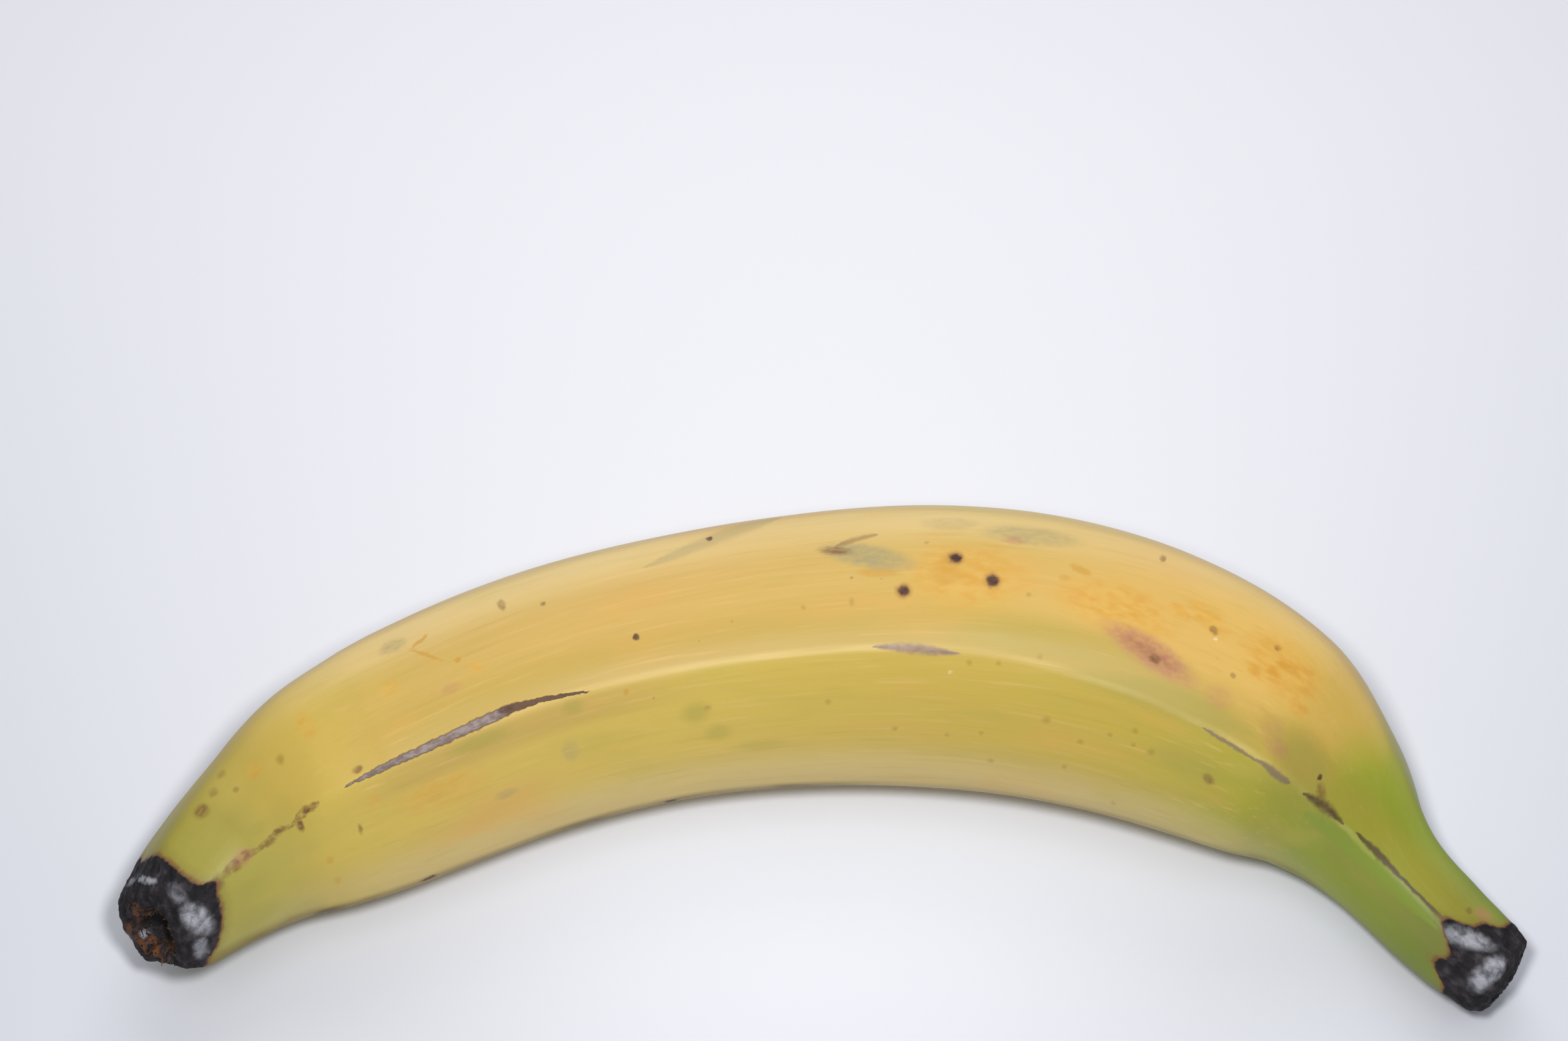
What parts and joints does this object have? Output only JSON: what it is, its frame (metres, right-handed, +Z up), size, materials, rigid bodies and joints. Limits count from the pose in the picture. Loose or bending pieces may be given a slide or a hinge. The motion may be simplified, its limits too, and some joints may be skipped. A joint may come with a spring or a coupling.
{
  "type": "plantain",
  "caption": "Ripening plantain lying on its side, a curved, softly ridged fruit with a hollow dark blossom scar and a short cut neck.",
  "frame": {"origin": "centre of the fruit's footprint on the surface it lies on", "axes": "+X from the blossom end towards the cut stem end, +Y towards the outside of the bend, +Z up"},
  "size_m": [0.2446, 0.092, 0.0511],
  "materials": {
    "peel": "satin"
  },
  "bodies": {
    "root": {"plantain": "peel"}
  },
  "joints": []
}
